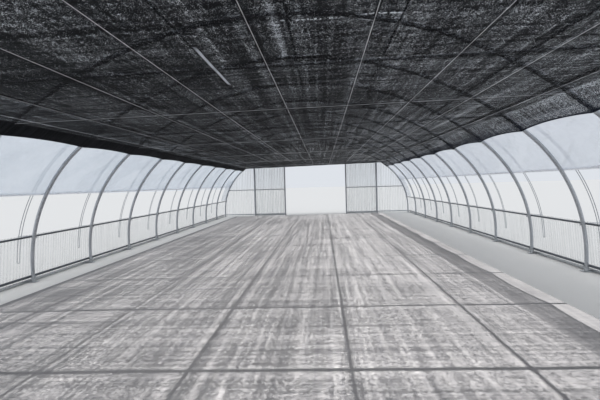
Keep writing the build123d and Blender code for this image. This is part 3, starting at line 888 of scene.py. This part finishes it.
# %% Clamps at the rails, and bolts at the feet
def at_hoop(z, side, y):
    """Matrix with X out from the hoop's line at height z, and Z up along it."""
    a = angle_at(z) if z > SHOULDER_Z else 0.0
    x = x_at(z) if z > SHOULDER_Z else HALF_SPAN
    out = Vector((side * cos(a), 0, sin(a)))
    up = Vector((-side * sin(a), 0, cos(a)))
    turn = Matrix((out, up.cross(out), up)).transposed().to_4x4()
    return Matrix.Translation((side * x, y, z)) @ turn


EAR_IN, EAR_OUT, EAR_HALF = -0.056, -0.0325, 0.013
EAR_NEAR, EAR_FAR, NUT_FAR = 0.0015, 0.0045, 0.0105
BOLT = (-0.045, 0, 0)
clamp = fused(
    open_ring(0.0304, 0.0329, 0.016, radians(30), radians(330)),
    box((EAR_IN, -EAR_FAR, -EAR_HALF), (EAR_OUT, -EAR_NEAR, EAR_HALF)),
    box((EAR_IN, EAR_NEAR, -EAR_HALF), (EAR_OUT, EAR_FAR, EAR_HALF)),
    shifted(prism(6, 0.0075, EAR_FAR, NUT_FAR, 1), BOLT),
    shifted(prism(6, 0.0075, -NUT_FAR, -EAR_FAR, 1), BOLT),
    shifted(prism(8, 0.004, -0.016, 0.0125, 1), BOLT),
)
SIDE_RAIL_Z, BASE_RAIL_Z = 0.75, 0.09
rail_places = [at_hoop(z, side, y) for z in (SIDE_RAIL_Z, BASE_RAIL_Z) for side in (-1, 1) for y in HOOP_YS]
show(joined("rail_clamps", clamp, rail_places), "tunnel", zinc)

# A washer and a head on the inside of each foot's socket
SOCKET_Z, WASHER_IN, WASHER_OUT, HEAD_IN = 0.032, -0.0365, -0.0345, -0.0425
socket_bolt = fused(prism(12, 0.011, WASHER_IN, WASHER_OUT, 0), prism(6, 0.0085, HEAD_IN, WASHER_IN, 0))
foot_places = [at_hoop(SOCKET_Z, side, y) for side in (-1, 1) for y in HOOP_YS]
show(joined("socket_bolts", socket_bolt, foot_places), "tunnel", zinc)

# %% [markdown]
# Sheet screws with washers hold the end walls to their posts and rails. Round heads
# could be lathed, but at this size a disc under a hexagon reads the same with 40 faces.

# %% Screws of the end walls
SHEET_FACE = 12.0403
DOOR_POST_X, OUTER_POST_X, OUTER_POST_TOP = 1.516, 3.0, 2.66
SILL_Z, END_RAIL_Z, LINTEL_Z = 0.09, 1.295, 2.53
screw = fused(prism(14, 0.010, 0.0002, 0.0014, 2), prism(6, 0.0055, 0.0014, 0.0038, 2))
door_post_top = float(ROOF_Z + (ROOF_R**2 - DOOR_POST_X**2) ** 0.5)
spots = []
for x, top_z in ((DOOR_POST_X, door_post_top), (OUTER_POST_X, OUTER_POST_TOP)):
    spots += [(x, z) for z in np.arange(0.25, top_z - 0.12, 0.40)]
for z in (SILL_Z, END_RAIL_Z):
    spots += [(x, z) for x in np.arange(1.85, 2.9, 0.37)]
    spots += [(x, z) for x in np.arange(3.3, 4.1, 0.35)]
spots += [(x, LINTEL_Z) for x in np.arange(0.1, 1.45, 0.32)]
screw_places = []
for x, z in spots:
    for side in (-1, 1):
        for end in (-1, 1):
            turn = Matrix.Rotation(-end * pi / 2, 4, "X")
            screw_places.append(Matrix.Translation((side * x, end * SHEET_FACE, z)) @ turn)
show(joined("wall_screws", screw, screw_places), "tunnel", zinc)

# %% [markdown]
# A zigzag spring wire in each shoulder channel grips the film. It stops short of the
# brackets at each hoop. A curve with a bevel could make it, but a tube along computed
# points is a mesh at once, in its place.


# %% Spring wires
def tube(path, radius, sides=6):
    """A round wire along the rows of path: centre + radius (u cos t + v sin t)."""
    along = np.gradient(path, axis=0)
    along /= np.linalg.norm(along, axis=1, keepdims=True)
    u = np.cross(along, (0.0, 0.0, 1.0))
    u /= np.linalg.norm(u, axis=1, keepdims=True)
    v = np.cross(along, u)
    t = np.arange(sides) * 2 * pi / sides
    rings = path[:, None] + radius * (u[:, None] * np.cos(t)[:, None] + v[:, None] * np.sin(t)[:, None])
    first, last = np.arange(sides)[::-1], np.arange(sides) + (len(path) - 1) * sides
    return rings.reshape(-1, 3), ring_faces(len(path), sides).tolist() + [first.tolist(), last.tolist()]


CHANNEL_FACE, WIRE_UP = 0.0025, 0.006
SWING, SPRING_R, TURNS, BRACKET = 0.017, 0.0013, 46, 0.06
hip_x, hip_z = arc_points(np.array(HIP), OUTSIDE + CHANNEL_FACE + WIRE_UP)
along_arc = np.array([-sin(HIP), cos(HIP)])
to_and_fro = np.where(np.arange(TURNS) % 2 == 0, -1, 1)[:, None] * SWING * along_arc
springs = []
for start in HOOP_YS[:-1]:
    steps = np.linspace(start + BRACKET, start + BAY - BRACKET, TURNS)
    line = np.stack([hip_x + to_and_fro[:, 0], steps, hip_z + to_and_fro[:, 1]], -1)
    springs.append(tube(line, SPRING_R, 5))
    springs.append(tube(line * (-1, 1, 1), SPRING_R, 5))
show(joined("spring_wires", fused(*springs), [Matrix.Identity(4)]), "tunnel", zinc)

# %% [markdown]
# ## Camera
#
# The photograph was taken at eye height from just inside the near doorway, with a
# slight turn, dip and roll. The view could be matched by eye. Here its place, its three
# angles and its lens come from a fit to the feet of the hoops and to the rails.

# %% Camera
FOCAL_PIXELS, FRAME_PIXELS, SENSOR = 482.7, 600.0, 36.0
YAW, PITCH, ROLL = -0.048, -0.0321, -0.028
EYE = (0.371, -11.794, 1.500)
forward = Vector((sin(YAW) * cos(PITCH), cos(YAW) * cos(PITCH), sin(PITCH)))
level = Vector((cos(YAW), -sin(YAW), 0))
square = level.cross(forward)
right_hand = cos(ROLL) * level + sin(ROLL) * square
upward = -sin(ROLL) * level + cos(ROLL) * square
camera_data = bpy.data.cameras.new("camera")
camera_data.sensor_width = SENSOR
camera_data.lens = FOCAL_PIXELS / FRAME_PIXELS * SENSOR
camera_data.clip_start, camera_data.clip_end = 0.02, 500
camera = bpy.data.objects.new("camera", camera_data)
camera.matrix_world = Matrix.Translation(EYE) @ Matrix((right_hand, upward, -forward)).transposed().to_4x4()
bpy.context.scene.collection.objects.link(camera)
bpy.context.scene.camera = camera
print("camera lens", round(camera_data.lens, 2), "mm")

# %% [markdown]
# ## Floor and light
#
# A pale floor and a pale sky light the tunnel evenly, with a soft sun from above. One
# strong sun could do more, but the net keeps most of it from the inside. So one wide
# panel under the net shines down, another shines up on the wires alone, and a small sun
# lights only the ground cover. In that sun the tubes above the net, the cross wires,
# the net and the right curtain alone throw shadows, as the lines on the real cover.

# %% Floor and sky
FAR, FLOOR_Z = 220.0, -0.004
corners = [(x, y, FLOOR_Z) for x, y in ((-FAR, -FAR), (FAR, -FAR), (FAR, FAR), (-FAR, FAR))]
floor_mesh = bpy.data.meshes.new("floor")
floor_mesh.from_pydata(corners, [], [(0, 1, 2, 3)])
floor_mesh.materials.append(plain("floor", (0.74, 0.73, 0.71), 0.9))
floor = bpy.data.objects.new("floor", floor_mesh)
bpy.context.scene.collection.objects.link(floor)

scene = bpy.context.scene
scene.view_settings.view_transform = "Standard"
world = bpy.data.worlds.new("sky")
scene.world = world
world.use_nodes = True
background = world.node_tree.nodes["Background"]
background.inputs["Color"].default_value = (0.86, 0.90, 0.96, 1)
background.inputs["Strength"].default_value = 0.85


def sun(name, direction, strength, angle, colour=(1, 1, 1)):
    """A sun that shines along direction."""
    data = bpy.data.lights.new(name, "SUN")
    data.energy, data.angle, data.color = strength, radians(angle), colour
    lamp = bpy.data.objects.new(name, data)
    lamp.rotation_mode = "QUATERNION"
    lamp.rotation_quaternion = Vector(direction).to_track_quat("-Z", "Y")
    scene.collection.objects.link(lamp)
    return lamp


def panel(name, height, turned_up, power):
    """A wide soft lamp inside the tunnel that shines down, or up."""
    data = bpy.data.lights.new(name, "AREA")
    data.shape, data.size, data.size_y, data.energy = "RECTANGLE", 6.0, 23.0, power
    lamp = bpy.data.objects.new(name, data)
    lamp.location = (0, 0, height)
    lamp.rotation_euler = (pi if turned_up else 0, 0, 0)
    lamp.visible_camera = lamp.visible_glossy = False
    scene.collection.objects.link(lamp)
    return lamp


def group(name, members):
    """A collection that isn't in the scene, for what a lamp lights or what blocks it."""
    made = bpy.data.collections.new(name)
    for obj in members:
        made.objects.link(obj)
    return made


sun("soft_sun", (0.05, 0.30, -1.0), 1.0, 25)
panel("down_fill", 2.15, False, 155)
up_fill = panel("up_fill", 0.8, True, 60)
ceiling = [nodes[n] for n in ("long_wires", "cross_wires")]
up_fill.light_linking.receiver_collection = group("up_fill_lights", ceiling)
cover_sun = sun("cover_sun", (-0.22, 0.012, -1.0), 13.0, 0.5, (1.0, 0.98, 0.96))
tubes = [nodes[n] for n in ("hoops", "roof_purlins", "ridge_purlin", "tie_bars", "cross_wires")]
cover_sun.light_linking.receiver_collection = group("cover_sun_lights", [mat])
cover_sun.light_linking.blocker_collection = group("cover_sun_blockers", tubes + [net, right_curtain])
